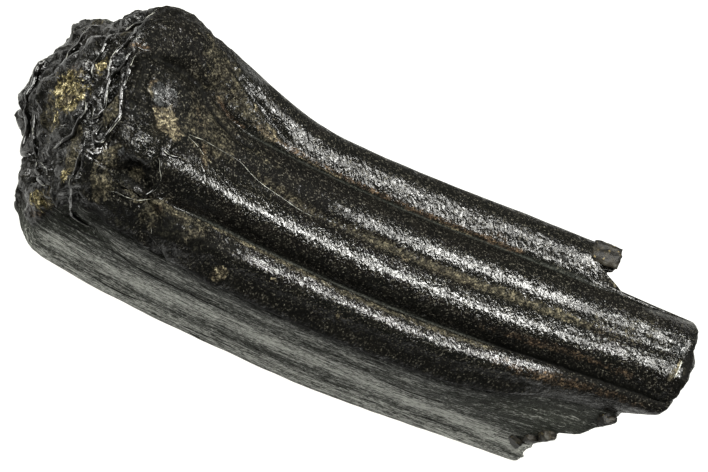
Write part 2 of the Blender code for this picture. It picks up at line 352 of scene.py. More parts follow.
def bmeshPiece(name, bm):
    mesh = bpy.data.meshes.new(name)
    bm.to_mesh(mesh)
    bm.free()
    return meshPiece(name, mesh)


def griddedBox(bm):
    bmesh.ops.create_cube(bm, size=2)
    for axis, count in enumerate((grid["ringCount"], sum(grid["tongue"]), sum(grid["front"]))):
        along = [e for e in bm.edges if e.verts[0].co[axis] * e.verts[1].co[axis] < 0]
        bmesh.ops.subdivide_edges(bm, edges=along, cuts=count - 1, use_grid_fill=True)
    onEnd = [e for e in bm.edges if max(v.co.x for v in e.verts) < -0.9999]
    down = [e for e in onEnd if abs(e.verts[0].co.y - e.verts[1].co.y) < 1e-5]
    bmesh.ops.subdivide_edges(bm, edges=down, cuts=grid["crownCuts"], use_grid_fill=True)


def grain(places, size, stretch=1, seed=0, octaves=2):
    # Random heights of about -1 to 1 with forms of this size in mm, stretched along the tooth
    scaled = np.asarray(places) / size * (1 / stretch, 1, 1) + (seed * 17.3, seed * 5.1, seed * 9.7)
    return np.array([noise.fractal(Vector(p), 1.0, 2.1, octaves) for p in scaled])


def facets(places, size, seed=0):
    # Heights in mm of flat chips of this size in mm, each tilted its own way
    heights = []
    for p in np.asarray(places) / size + (seed * 11.3, seed * 4.1, seed * 7.7):
        place = Vector(p)
        middle = noise.voronoi(place)[1][0]
        tilt = noise.cell_vector(middle) - Vector((0.5, 0.5, 0.5))
        heights.append(size * tilt.dot(place - middle))
    return np.array(heights)


relief = {
    # height and size in mm, how far it is drawn out along the tooth, seed and octaves
    "wave": (0.14, 6.0, 3, 1, 2), "swell": (0.05, 1.8, 2, 2, 2), "striation": (0.10, 0.55, 14, 3, 3),
    "collar": (0.50, 2.6, 1, 4, 2), "collarFine": (0.07, 0.8, 1, 5, 2),
    "crown": (0.60, 2.4, 1, 6, 2), "crownFine": (0.08, 0.9, 1, 7, 2), "break": (0.40, 1.4, 1, 8, 2),
    # height, size and seed
    "collarChips": (0.10, 1.5, 4), "crownChips": (0.25, 1.9, 6), "breakChips": (0.35, 1.5, 8),
    # low ridges that set where each rib turns from light to dark: place round, half width, height
    "ribs": ((3.72, 0.32, 0.22), (14.15, 0.5, 0.22), (12.9, 0.5, -0.12)),
    # rib C hangs over the front face with a sharp shadow line under it: the same three
    "overhang": (15.45, 0.42, 0.85), "notch": (15.98, 0.16, 0.62),
    "lip": (39.7, 0.6, 0.28),    # x, half width and height of the raised end of rib B
    # where along the tooth, or round it, these set in and fade
    "shaft": (-24, -20, 23, 31), "overhung": (-31, -27, 23, 31), "onLip": (5, 6, 12, 13),
}


def fineRelief(laid, x, q, onCrown, onRoot, rough, greyFace):
    height = np.zeros_like(x)
    shares = {"wave": 1, "swell": 1, "striation": greyFace, "collar": rough, "collarFine": rough,
              "crown": onCrown, "crownFine": onCrown, "break": onRoot}
    for name, share in shares.items():
        rise, *kind = relief[name]
        height += share * rise * grain(laid, *kind)
        if name + "Chips" in relief:
            rise, size, seed = relief[name + "Chips"]
            height += share * rise * facets(laid, size, seed)
    shaft = span(x, *relief["shaft"])
    for row in relief["ribs"]:
        height += shaft * ridge(q, *row) * (abs(q - 4) > 0.01)
    overhung = span(x, *relief["overhung"])
    height += overhung * ridge(q, *relief["overhang"]) * (q < 15.97)
    height -= overhung * ridge(q, *relief["notch"])
    return height + span(q, *relief["onLip"]) * ridge(x, *relief["lip"])


# masks that vary over the tooth: the rust, ochre, gold, pale and glass colours and 'dark', which is
# painted shade, then those that change its gloss, of which 'shadow' also paints shadow, 'furrow' a dim
# grey sheen and 'bright' a lighter sheen
stainAndShadeMasks = ("rust", "ochre", "gold", "pale", "glass", "dark")
lightMasks = ("dull", "glossy", "furrow", "shadow", "bright")

# tracks along the tooth: (x, place round the outline) points, half width in outline places, strength
tracks = {
    "rust": {
        "above crease 1": (((-17, 3.4), (-10, 3.55), (0, 3.68), (10, 3.74), (20, 3.78)), 0.3, 0.58),
        "valley, root part": (((2, 8.2), (12, 8.2), (26, 8.4), (34, 8.6)), 0.5, 0.4),
        "under rib B, root part": (((17, 11), (27, 10.8), (37, 11)), 0.5, 0.45),
        "rib C, root part": (((20, 13.6), (30, 13.8), (38, 13.6)), 1, 0.48),
    },
    "ochre": {
        "rib A, crown part": (((-26, 3.6), (-20, 3.2), (-16, 3.3), (-12, 3.5)), 0.7, 0.5),
        "valley, start": (((-15, 7.1), (-8, 7.8), (3, 7.9)), 0.6, 0.55),
        "valley": (((-1, 7.8), (6, 7.9), (14, 8), (30, 8.3)), 0.75, 0.7),
        "rib C, upper edge": (((-18, 12.5), (-9, 12.45), (0, 12.75), (12, 12.7), (20, 12.7)), 0.42, 0.74),
        "groove side of the collar": (((-30, 13.4), (-26, 13), (-18, 12.6)), 0.7, 0.5),
    },
    "pale": {
        "cream in crease 1, crown": (((-16.2, 3.6), (-14.8, 3.6)), 0.1, 0.6),
        "cream in crease 1, middle": (((-10, 3.74), (-6, 3.76), (-4, 3.8)), 0.1, 0.8),
        "cream in crease 1, root": (((7.5, 3.9), (11, 3.9), (13, 3.9)), 0.1, 0.8),
    },
    "dull": {
        "collar": (((-34, 4.5), (-24, 4.5)), 6, 0.45),
        "rib A beside the collar": (((-28, 2.4), (-19, 2.8)), 1.7, 0.45),
        "rib A": (((-20, 3), (26, 3)), 1.2, 0.45),
        "rib B beside the collar": (((-27, 6.4), (-14, 6.4), (-6, 6.3)), 1.7, 2),
        "rib B, start of the light": (((-9, 6.6), (-2, 6.6)), 0.9, 0.75),
        "rib B, crown half": (((-4, 6.6), (6, 6.6)), 0.9, 0.35),
        "valley": (((-26, 8.2), (0, 8), (30, 8.2)), 0.55, 1),
        "back of rib A": (((-30, 0.2), (32, 0.2)), 1.3, 1.2),
        "rib C beside the collar": (((-24, 13.6), (-12, 13.5)), 1, 0.8),
        "rib C": (((-12, 13.4), (24, 13.4)), 0.9, 0.25),
        "upper flank of rib B": (((-14, 5), (-4, 4.9), (34, 4.9)), 0.8, 1.7),
        "lower flank of rib B": (((-18, 11.3), (34, 11.3)), 0.6, 0.9),
        "lower side of rib C": (((-18, 14.95), (26, 14.95)), 0.6, 0.9),
        "rib B, root end": (((26, 8), (40, 8)), 3.5, 0.45),
        "rib C, root end": (((26, 14), (38, 14)), 1.8, 0.7),
        "slant of rib A": (((29, 3.2), (33, 3.2)), 0.9, 0.9),
        "front face, root end": (((24, 16.5), (33, 16.7)), 0.5, 0.3),
        "crease 2, root end": (((29, 12.7), (41, 12.7)), 0.8, 1.6),
        "rib A, upper part": (((-16, 1.8), (30, 1.8)), 0.55, 1.5),
    },
    "shadow": {
        "under rib C": (((-29, 15.78), (23, 15.75)), 0.3, 1.6),
        "crease 2, root part": (((19, 11.9), (40, 11.95)), 0.24, 1.2),
    },
    # painted sheen: the two creases are made matte and painted an even dark grey, standing in for the dim
    # sheen along them
    "furrow": {
        "crease 1": (((-16, 4.02), (28, 4.02)), 0.17, 0.9),
        "crease 2": (((-19, 12), (20, 12)), 0.17, 0.9),
    },
    # painted sheen: lighter bands painted along the front face
    "bright": {
        "front face, middle": (((-32, 18.1), (-20, 17.85), (-8, 17.55), (4, 17.52), (16, 17.7),
            (34, 18.2)), 0.42, 1),
        "front face, top": (((-24, 16.7), (18, 16.5)), 0.35, 0.5),
        "front face, lower": (((-32, 19), (0, 18.7), (20, 18.8), (34, 19)), 0.5, 0.75),
    },
}

# spots: x, place round the outline, half length, half width, strength
spots = {
    "pale": {
        "chip, middle": (-28.2, 7.2, 1.5, 0.75, 0.95),
        "chip, lower part": (-27.1, 7.9, 1.6, 0.8, 0.95),
        "chip, end": (-26, 8.4, 1.1, 0.6, 0.7),
        "bump on rib C": (-13.9, 14.9, 1.2, 0.5, 0.7),
        "second bump": (-7.9, 14.1, 0.8, 0.35, 0.5),
        "third bump": (1.1, 14.4, 0.9, 0.35, 0.5),
        "lump": (-21.1, 8.4, 0.9, 0.5, 0.45),
        "cream on rib A": (-14, 3.2, 0.5, 0.25, 0.9),
        "cream speck": (-17.3, 2.9, 0.35, 0.2, 0.8),
        # painted highlight: the light band along the lip of the root end
        "root lip": (40.3, 9.4, 0.35, 1, 0.7),
    },
    "ochre": {
        "collar, rib A": (-23.5, 3, 5.5, 1.4, 0.5),
        "dust of rib B, root end": (33, 7.4, 5, 2.4, 0.42),
        "collar, rib B": (-22, 6.4, 6, 2.2, 0.56),
        "flank of rib B": (-14, 5.6, 6, 1.2, 0.38),
        "rib C by the collar": (-21.5, 13.4, 5.5, 1.5, 0.5),
        "pit": (-28.1, 11.6, 1.1, 0.5, 0.8),
        "beside the arc": (-25, 14, 1, 1.2, 0.5),
        "under the loop": (-32.2, 11.65, 1.6, 0.9, 0.55),
        "below the pit": (-31.1, 14, 1.8, 1.2, 0.55),
        "inside the loop": (-34.3, 9, 0.9, 1.6, 0.95),
        "root lip": (39.9, 9.9, 0.5, 0.6, 0.9),
        "root rim": (41.3, 9.3, 0.4, 0.35, 1),
        "slant of rib A": (31.3, 3.5, 1.6, 0.5, 0.5),
        "chip edge": (-30.3, 6.3, 0.7, 0.8, 0.8),
        "front face, root end": (32, 17.3, 1.6, 0.35, 0.5),
        "arc foot": (-23.4, 12.4, 1.4, 1, 0.45),
    },
    "rust": {
        "step at the rim": (-33.2, 4.1, 1.3, 0.35, 0.75),
        "chip side": (-30.3, 6.1, 0.7, 0.5, 0.95),
        "brown spot": (-22.8, 6.4, 1.2, 0.7, 0.45),
        "spot on rib A": (16, 3.3, 2, 0.4, 0.45),
        "beside the arc": (-24.4, 13.4, 0.9, 0.7, 0.6),
    },
    "glass": {
        "chip, top": (-29.6, 6.1, 1, 0.6, 1),
        "chip, upper part": (-28.9, 6.6, 1.3, 0.7, 1),
        "chip, far side": (-28.1, 5.9, 0.9, 0.4, 0.8),
        "lump": (-31.2, 10.9, 0.6, 0.4, 0.6),
        # painted highlight: the light grey band along the lip of the root end
        "root lip": (39.9, 7.5, 0.75, 0.65, 0.95),
    },
    "glossy": {
        "dome": (-29.3, 9.7, 2.4, 1.4, 1.2),
        "dome, upper part": (-30.1, 8.9, 0.8, 0.7, 0.8),
        "short ridges": (-25.2, 9.6, 2.2, 0.35, 1),
        "pit edge": (-29.5, 11.1, 2, 0.25, 0.9),
        "chip": (-28.6, 6.5, 1.8, 1, 0.8),
        "collar foot": (-33, 11.9, 1, 1, 0.9),
    },
    # painted shade: pits, holes, hollows and the rib sides beside them are painted near black
    "dark": {
        "hole in the chip": (-28.4, 6.6, 0.35, 0.22, 1.4),
        "pit": (-28.4, 12.3, 1.7, 0.5, 0.9),
        "pit, upper part": (-29.4, 11, 1.6, 0.3, 0.7),
        "behind the arc": (-22.2, 14.1, 1.4, 0.6, 0.95),
        "before the bump": (-18, 14.2, 1.6, 0.5, 0.7),
        "hollow under the pit": (-27.6, 14.9, 2.2, 0.6, 1.1),
        "hollow over the dome": (-32.2, 8.4, 1.2, 0.7, 0.9),
        "black spot on rib A": (-19.2, 2.2, 1.6, 0.5, 0.9),
        "black side of rib C": (-21.6, 13.9, 2.2, 0.8, 0.7),
        "black side of rib B": (-20, 11.3, 3, 0.6, 0.6),
    },
    "shadow": {
        "end rim": (41.4, 8.6, 0.6, 3.6, 0.9),
    },
}

# olive and brown veins of the collar: (x, place round the outline) points, strength, half width in mm
veins = {
    "ochre": {
        "round the pit": (((-31.2, 10.6), (-32.5, 11.3), (-33.2, 12.6), (-32.5, 14), (-31.2, 14.2),
            (-30.1, 14)), 0.95, 0.45),
        "behind the pit": (((-26.9, 13.7), (-25.7, 13.4), (-24.2, 12.8), (-22.9, 12.7), (-20.2, 12.9)),
            0.9, 0.5),
        "down from the arc": (((-25.4, 13.2), (-24.5, 14), (-23.9, 14.5)), 0.85, 0.45),
        "left of the pit": (((-31.6, 13), (-31.9, 14.3), (-30.9, 14.9)), 0.75, 0.5),
        "over rib B": (((-25.4, 7.9), (-23.4, 8), (-21.7, 8.4), (-21, 9)), 0.7, 0.35),
    },
    "rust": {
        "brown smear": (((-24.4, 5.9), (-23.1, 6.9), (-22.2, 7.8), (-21.1, 9)), 0.6, 0.55),
        "beside the seam": (((-22.8, 6.8), (-21, 6.7), (-18.5, 6.5), (-16.7, 6.9)), 0.4, 0.5),
        "crease 1, crown part": (((-22.1, 3.8), (-20.2, 3.95), (-17.7, 3.9)), 0.75, 0.35),
    },
}

# on the chewing end: y, z, half length, half width, turn in degrees, strength
crownSpots = {
    "gold": {
        "gold filling": (3.3, -1.9, 4.2, 2.7, 90, 0.85),
        "gold foot": (-8, -7.8, 3.2, 1.1, 90, 0.7),
        "gold in the loop's side": (6.6, 2.7, 1.6, 0.7, 0, 0.55),
        "olive gold": (-0.2, -5.4, 2.8, 1.9, 90, 0.5),
        "gold at the front wall": (-6.2, 0.9, 1.2, 1, 0, 0.7),
    },
    "ochre": {
        "olive under the gold": (0, -6.4, 3.4, 2.2, 90, 0.95),
        "olive strip": (-3.4, 1.2, 3.6, 1.5, 0, 0.95),
        "shoulder": (15.9, -12.3, 2, 1.5, 0, 0.7),
        "between the rims": (12.6, 1.2, 1.6, 1, 0, 0.8),
        "loop foot": (0.4, 5.3, 1, 1, 0, 0.9),
    },
    "pale": {
        "cream low": (2.2, -5.5, 0.9, 0.7, 0, 0.9),
        "cream middle": (2.4, -2.4, 1.8, 0.6, 70, 0.75),
        "cream upper": (5, 0.6, 1.1, 0.7, 60, 0.7),
        "cream at the plate": (-7.6, -4.6, 0.7, 0.5, 0, 1),
        "cream in the foot": (-7.9, -7, 0.6, 0.5, 0, 1),
    },
    "rust": {
        "over the gold": (5.6, -1.6, 1.3, 1.6, 0, 0.6),
        "foot": (-8.6, -10.4, 1.4, 2.2, 0, 0.6),
        "strip": (-5.6, 1, 1.5, 1, 0, 0.5),
    },
    "glass": {
        "plate": (-5.6, -6, 2.2, 1, 90, 0.7),
        "beside the gold": (6.6, -4.6, 1.8, 0.9, 90, 0.8),
        "head of the loop": (8.1, 4.1, 1.2, 0.9, 0, 0.9),
        "foot of the loop": (-1, 5.4, 1, 0.8, 0, 0.6),
        "beside the hook": (9.6, -3.4, 1.2, 2, 0, 0.6),
    },
}


def trackMask(x, q, points, half, strength):
    xs, qs = zip(*points)
    ends = span(x, xs[0] - 3, xs[0] + 2, xs[-1] - 2, xs[-1] + 3)
    return strength * ends * np.exp(-((roundOff(q, np.interp(x, xs, qs)) / half) ** 2))


def colourMask(name, laid, q, onSide, onCrown):
    x, y, z = laid.T
    cover = np.zeros_like(x)
    for track in tracks.get(name, {}).values():
        cover = np.maximum(cover, onSide * trackMask(x, q, *track))
    for midX, midQ, halfX, halfQ, strength in spots.get(name, {}).values():
        here = strength * blob((x - midX) / halfX, roundOff(q, midQ) / halfQ)
        cover = np.maximum(cover, onSide * here)
    for *shape, strength in crownSpots.get(name, {}).values():
        cover = np.maximum(cover, onCrown * strength * endBlob(y, z, *shape))
    return cover


zones = {
    # by place round the outline: the x where the chewing end takes over and where the rough collar ends
    "crownReach": ((0, 4, 12, 16, 20, 31, 34), (-32.5, -33.2, -33.2, -32.5, -34.5, -35, -32.5)),
    "collarEnd": ((0, 4, 8, 12, 14, 16, 17, 34), (-22, -20, -22, -23, -14, -26, -29, -24)),
    "crownFade": 1.0, "collarFade": 3.5,
    "front": (15.97, 16.03, 19.8, 20.6), "hidden": (19.9, 20.6, 32.6, 33.6),
    "side": (0.80, 0.97),        # shares of the way out between which an end turns into a side
    "brokenFrom": 0.85, "brokenSize": 1.5, "brokenReach": (4.5, 0.5),
    "brokenHeight": (0.35, 0.75),    # on the tongue side, and what is added low on the cheek side
}


def makeTooth():
    bm = bmesh.new()
    griddedBox(bm)
    box = np.array([v.co for v in bm.verts])
    t = np.interp((box[:, 0] + 1) / 2, *grid["rings"])
    q, m = roundPlace(-box[:, 1], -box[:, 2])
    laid = wrap(t, q, m)
    atRoot = np.flatnonzero(t > zones["brokenFrom"])
    toBreak = rootEnd(*laid[atRoot, 1:].T) - laid[atRoot, 0]
    ragged = grain(laid[atRoot] * (0, 1, 1), zones["brokenSize"], 1, 9, 3)
    ragged *= smooth(*zones["brokenReach"], toBreak)
    least, more = zones["brokenHeight"]
    laid[atRoot, 0] += ragged * (least + more * smooth(-2, -5, laid[atRoot, 2]))
    x = laid[:, 0]

    onSide = smooth(*zones["side"], m)
    pastCrown = x - np.interp(q, *zones["crownReach"])
    fade = zones["crownFade"]
    onCrown = np.where(t < 0.5, np.maximum(1 - onSide, smooth(fade, -fade, pastCrown)), 0)
    onRoot = np.where(t > 0.5, 1 - onSide, 0)
    # painted shade: the front face is painted less grey along its top edge, under rib C
    front = span(q, *zones["front"]) * (0.7 + 0.3 * smooth(16.2, 16.7, q))
    hidden = span(q, *zones["hidden"])
    greyFace = onSide * (front + 0.7 * hidden) * (1 - onCrown)
    pastCollar = x - np.interp(q, *zones["collarEnd"])
    fade = zones["collarFade"]
    rough = (1 - 0.8 * greyFace) * smooth(fade, -fade, pastCollar)

    for vert, place in zip(bm.verts, bent(laid)):
        vert.co = place
    bmesh.ops.recalc_face_normals(bm, faces=bm.faces)
    bm.normal_update()
    normals = np.array([v.normal for v in bm.verts])
    away, half = crestShape["hollowAway"], crestShape["hollowHalf"]
    hollows = depthAlong(laid, [(points, hollow, half, away) for points, *_, hollow in crests.values()])
    folded = depthAlong(laid, [(onOutline(points), *row) for points, *row in folds.values()])
    height = fineRelief(laid, x, q, onCrown, onRoot, rough, greyFace) - hollows - folded
    places = bent(laid) + normals * height[:, None]
    places[:, 2] = np.maximum(places[:, 2], 0)
    for vert, place in zip(bm.verts, places * mm):
        vert.co = place

    masks = {name: colourMask(name, laid, q, onSide, onCrown) for name in stainAndShadeMasks + lightMasks}
    # painted shade: the folds of the collar are painted dark as well as sunk
    masks["dark"] = np.maximum(masks["dark"], 1.6 * folded)
    masks["ochre"] = np.maximum(masks["ochre"], 0.5 * onRoot)
    for name, lines in veins.items():
        along = depthAlong(laid, [(onOutline(points), *row) for points, *row in lines.values()])
        masks[name] = np.maximum(masks[name], along)
    masks |= {"greyFace": greyFace, "rough": np.maximum(rough, np.maximum(onCrown, 0.8 * onRoot)),
              "onCrown": np.maximum(onCrown, 0.6 * onRoot)}
    tooth = bmeshPiece("tooth_surface", bm)
    kept = tooth.data.attributes
    for name, values in masks.items():
        kept.new(name, "FLOAT", "POINT").data.foreach_set("value", values.astype(np.float32))
    kept.new("laid", "FLOAT_VECTOR", "POINT").data.foreach_set("vector", laid.ravel().astype(np.float32))
    return tooth


# enamel crests, thin raised walls: points as (x, y, z) on the straight axis, then the radius of the
# dark wall, how far it stands out, the radius of the light edge on its top and the depth of the
# hollows beside it, all in mm; the light edge is a painted highlight along the top of the crest
crests = {
    "outer rim": (((-32.3, 16.1, 2.1), (-33, 15, 2.3), (-33.3, 14.4, 0.9), (-33.8, 14, -0.6),
        (-34.3, 13.1, -1.1)), 0.28, 0.1, 0.09, 0.3),
    "inner rim": (((-32.3, 15.8, 3), (-33.1, 14.4, 3), (-33.4, 13.6, 1.6), (-34.5, 11.4, 4.3),
        (-34.9, 10.3, 3.5), (-35.2, 9.5, 3.1), (-35.4, 7.8, 3.2), (-35.5, 6.2, 3.4), (-35.4, 4.1, 3.3),
        (-35.2, 2.2, 3.1), (-34.9, 0.7, 3.2)), 0.28, 0.14, 0.09, 0.35),
    "step at the rim": (((-34.5, 10.8, 4.4), (-34.1, 10.1, 5.2), (-33.2, 10, 6), (-32.2, 10.4, 5.9)),
        0.16, 0.03, 0.05, 0.1),
    "loop, left wall": (((-34.3, 8.8, 5.8), (-34.7, 7.6, 5.3), (-34.9, 6.7, 4.3), (-35, 5.4, 3.7),
        (-34.9, 4.3, 3.7), (-34.8, 3.1, 3.7), (-34.7, 1.9, 3.8), (-34.8, 1, 3.6), (-35, 0.6, 3.1)),
        0.3, 0.22, 0.1, 0.6),
    "loop, right wall": (((-33.9, 8.8, 6.4), (-34, 7.7, 6.7), (-33.9, 6.5, 6.9), (-33.8, 5.1, 6.9),
        (-33.9, 4.2, 6.8), (-33.6, 3.3, 6.7), (-33.3, 2.1, 6.9), (-33.3, 0.9, 6.9), (-33.4, -0.4, 6.7),
        (-33.5, -1.3, 6.2), (-33.6, -1.9, 5.7), (-34.1, -2.2, 5.4), (-34.4, -1.6, 4.7),
        (-34.6, -0.7, 5), (-34.5, -0.1, 5.6)), 0.3, 0.22, 0.1, 0.6),
    "hook": (((-35.4, 11.8, -0.9), (-36, 10.8, 0.2), (-36.4, 9.5, 0.9), (-36.8, 8.1, 1.3),
        (-37.1, 7.1, 1.8), (-37.2, 6.3, 2), (-37.1, 5.3, 2), (-36.8, 5, 2.2)),
        0.26, 0.2, 0.09, 0.6),
    "far hook": (((-36.2, 14, -12.6), (-36.4, 12.9, -11.7), (-36.7, 11.6, -11.1), (-37.3, 10.5, -10.9),
        (-37.7, 9.8, -10.8), (-38, 8.6, -9.6)), 0.28, 0.16, 0.08, 0.5),
    "left rim": (((-39.4, 8.3, -13.3), (-39.8, 7.4, -13.8), (-39.8, 6.2, -14.1), (-39.9, 5, -14.1),
        (-39.8, 3.9, -14.2), (-39.6, 3.1, -14.5)), 0.45, 0.15, 0.07, 0.5),
    "knob": (((-39.1, 2.2, -16.9), (-39.3, 1.5, -16.4), (-39.2, 0.8, -16.2)), 0.7, 0.2, 0, 0.2),
    "low band": (((-39.4, 2.7, -14.8), (-38.9, 2, -15.5), (-38.3, 1.4, -16.5), (-37.6, 0.2, -16.8),
        (-37.1, -1.4, -16.4), (-37.1, -2.4, -13.8)), 0.48, 0.1, 0.06, 0.4),
    "inner band": (((-38.5, 1.9, -13.4), (-38, 0.8, -13.4), (-37.5, -0.3, -12.6), (-37.1, -1.3, -12.6),
        (-36.9, -2, -12.8), (-36.9, -2.7, -13.2)), 0.3, 0.15, 0.07, 0.35),
    "plate, lower edge": (((-36.4, -3.4, -10.9), (-36.1, -4.6, -9.9), (-36.3, -6.6, -5.7),
        (-36, -7, -4.2)), 0.25, 0.25, 0.12, 0.5),
    "plate, upper edge": (((-36, -3.4, -10), (-36.4, -5.2, -4.8), (-36.3, -6.3, -3.2),
        (-36, -7.1, -3.6)), 0.18, 0.2, 0.07, 0.4),
    "middle wall": (((-36, 2.1, 2.4), (-35.9, 1, 2.1), (-36, -0.2, 1.4), (-36, -0.9, 1.1),
        (-36.3, -1.8, 0), (-36.4, -2.4, -2.5), (-36.5, -2.7, -4)), 0.3, 0.2, 0.08, 0.6),
    "front wall": (((-35, -1.2, 3.6), (-34.9, -2.3, 3.3), (-34.9, -3.5, 3.4), (-35, -4.9, 2.9),
        (-34.9, -6, 2.5), (-34.4, -7, 2), (-33.6, -7.5, 0), (-32.6, -7.9, -2.6),
        (-31.3, -7.7, -6.7), (-30.6, -7.9, -7.2), (-29.4, -7.9, -7.3), (-28.5, -7.8, -6.7)),
        0.24, 0.12, 0.07, 0.4),
    "arc behind the pit": (((-27.2, -0.3, 6.6), (-26.5, -0.7, 6.4), (-26, -1.6, 6.2),
        (-25.6, -2.4, 5.6), (-25.6, -3.2, 4.9), (-26, -4.1, 4.5), (-26, -4.8, 4.2)),
        0.2, 0.1, 0.07, 0.3),
    "pit, upper edge": (((-31.4, -2, 5.6), (-30.6, -1.9, 5.5), (-29.4, -2, 5.1), (-27.8, -2.2, 5),
        (-26.6, -2.4, 5.3), (-25.8, -2.8, 5.2)), 0, 0, 0, 0.15),
    "pit, lower edge": (((-30.1, -5.8, 3.9), (-28.7, -5.6, 4), (-27.4, -5.2, 4.2), (-25.9, -4.9, 4.1)),
        0, 0, 0, 0.12),
    "short ridges": (((-26.8, 0.7, 6.9), (-26, 0.6, 6.9), (-24.4, 1.1, 6.8)), 0.22, 0.1, 0.08, 0.2),
    "foot of the arc": (((-25.4, -4.9, 3.8), (-24.7, -5.5, 3.6), (-22.9, -6.9, 2.5), (-20.5, -7.7, -2)),
        0, 0, 0, 0.2),
}

# how much of each radius shows, how deep the lines sit, and where the hollows beside a crest lie
crestShape = {
    "wallShare": 0.85, "edgeShare": 0.6, "edgeLift": 0.7, "sunk": 0.1, "seamLift": 0.01,
    "hollowAway": 0.6, "hollowHalf": 0.35,
}

# thin light lines on the sides: (x, place round the outline) points and radius
seams = {
    "under the pit": (((-30.2, 14.2), (-29.3, 13.9), (-28.5, 14), (-27.6, 13.75), (-26.8, 13.65),
        (-25.6, 13.2)), 0.03),
    "foot of the arc": (((-23.7, 14.6), (-23, 14.8), (-22, 15.2), (-20.7, 15.8)), 0.045),
    "over rib B": (((-25.4, 7.9), (-23.4, 7.95), (-21.7, 8.3)), 0.035),
    "chip to valley": (((-25.4, 7.9), (-22.9, 7.43), (-20.6, 7.13), (-17.4, 6.9), (-15.5, 7.33),
        (-13.6, 7.66), (-11, 7.89), (-8.4, 8.19), (-6.5, 8.23)), 0.035),
    # painted highlight: a light line along the lip of the root end
    "root lip": (((40.5, 8.6), (40.45, 9.3), (40.25, 10.1)), 0.09),
}

# thin cracks of the front face: (x, place round the outline) points and radius
cracks = {
    "beside the collar": (((-34.2, 17.26), (-31.2, 17.22), (-28.3, 17.13), (-25.7, 16.98)), 0.1),
    "long crack": (((-26.5, 17.15), (-23.5, 17.1), (-20.3, 17.22), (-16.7, 17.2), (-13, 17.16),
        (-8, 17.1)), 0.09),
    "low crack": (((-11.5, 18.8), (-9.5, 18.75), (-4, 18.65)), 0.08),
    "low crack, crown part": (((-24, 18.6), (-20.5, 18.66), (-17.5, 18.6)), 0.08),
    "root part": (((12, 17.2), (15.5, 17.26), (20, 17.3)), 0.07),
}

# dark folds of the collar: (x, place round the outline) points, depth and half width in mm
folds = {
    "over rib A": (((-28, 2.45), (-26.2, 2.36), (-23.2, 2.51), (-20.2, 2.62), (-16.5, 2.74),
        (-12.2, 3.21)), 0.45, 0.4),
    "beside the chip": (((-31.5, 4.42), (-28.4, 4.1), (-25.3, 4.04), (-23.1, 4.94), (-20.7, 5.36),
        (-16.4, 5.34)), 0.5, 0.45),
    "round the pit": (((-26, 13.1), (-24.7, 14), (-22.9, 14.66), (-20.5, 15.6)), 0.45, 0.35),
    "rim of the chip": (((-30.6, 6.6), (-30.3, 5.6), (-28.3, 5.55), (-26.5, 6.65), (-25.6, 8.1)),
        0.2, 0.3),
    "behind the loop": (((-32.3, 5.8), (-32, 7.39), (-31.6, 8.75)), 0.4, 0.4),
    "top of the collar": (((-31.5, 2.2), (-29.5, 1.7), (-27, 1.9)), 0.35, 0.4),
    "across the collar": (((-30.4, 3.3), (-28.6, 3.4), (-27.4, 3.1), (-26, 3.3)), 0.3, 0.35),
    "under the dome": (((-31.2, 10.6), (-29.6, 11.2), (-27.8, 11.1), (-26.4, 10.7)), 0.2, 0.45),
    "left of the dome": (((-31.4, 8.9), (-31, 9.9), (-31.4, 10.8)), 0.4, 0.4),
    "over the ledge": (((-31, 13.2), (-29, 13.4), (-27, 13.2)), 0.12, 0.4),
}


def throughPoints(points, step=0.2):
    # An even, smooth run of points through the given ones
    points = np.asarray(points, float)
    padded = np.vstack([2 * points[0] - points[1], points, 2 * points[-1] - points[-2]])
    run = []
    for a, b, c, d in zip(padded, padded[1:], padded[2:], padded[3:]):
        for u in np.arange(0, 1, step / max(np.linalg.norm(c - b), step)):
            place = b + u * (c - a) / 2 + u**2 * (2 * a - 5 * b + 4 * c - d) / 2
            run.append(place + u**3 * (3 * b - a - 3 * c + d) / 2)
    return np.array(run + [points[-1]])


def depthAlong(laid, lines):
    # Depth of grooves along (points, depth, half width) lines, or some way off where a row says so
    depth = np.zeros(len(laid))
    for points, deepest, half, *away in lines:
        run = throughPoints(points, 0.3)
        near = np.flatnonzero(abs(laid[:, 0] - run[:, 0].mean()) < 10)
        distance = np.full(len(near), 9.0)
        for place in run:
            distance = np.minimum(distance, np.linalg.norm(laid[near] - place, axis=1))
        depth[near] = np.maximum(depth[near], ridge(distance, sum(away), half, deepest))
    return depth


# smoothing rounds, how the ends taper, and how uneven a line is
lineLook = {"rounds": 10, "taper": 6, "tip": 0.25, "uneven": 0.45, "unevenEvery": 0.17}


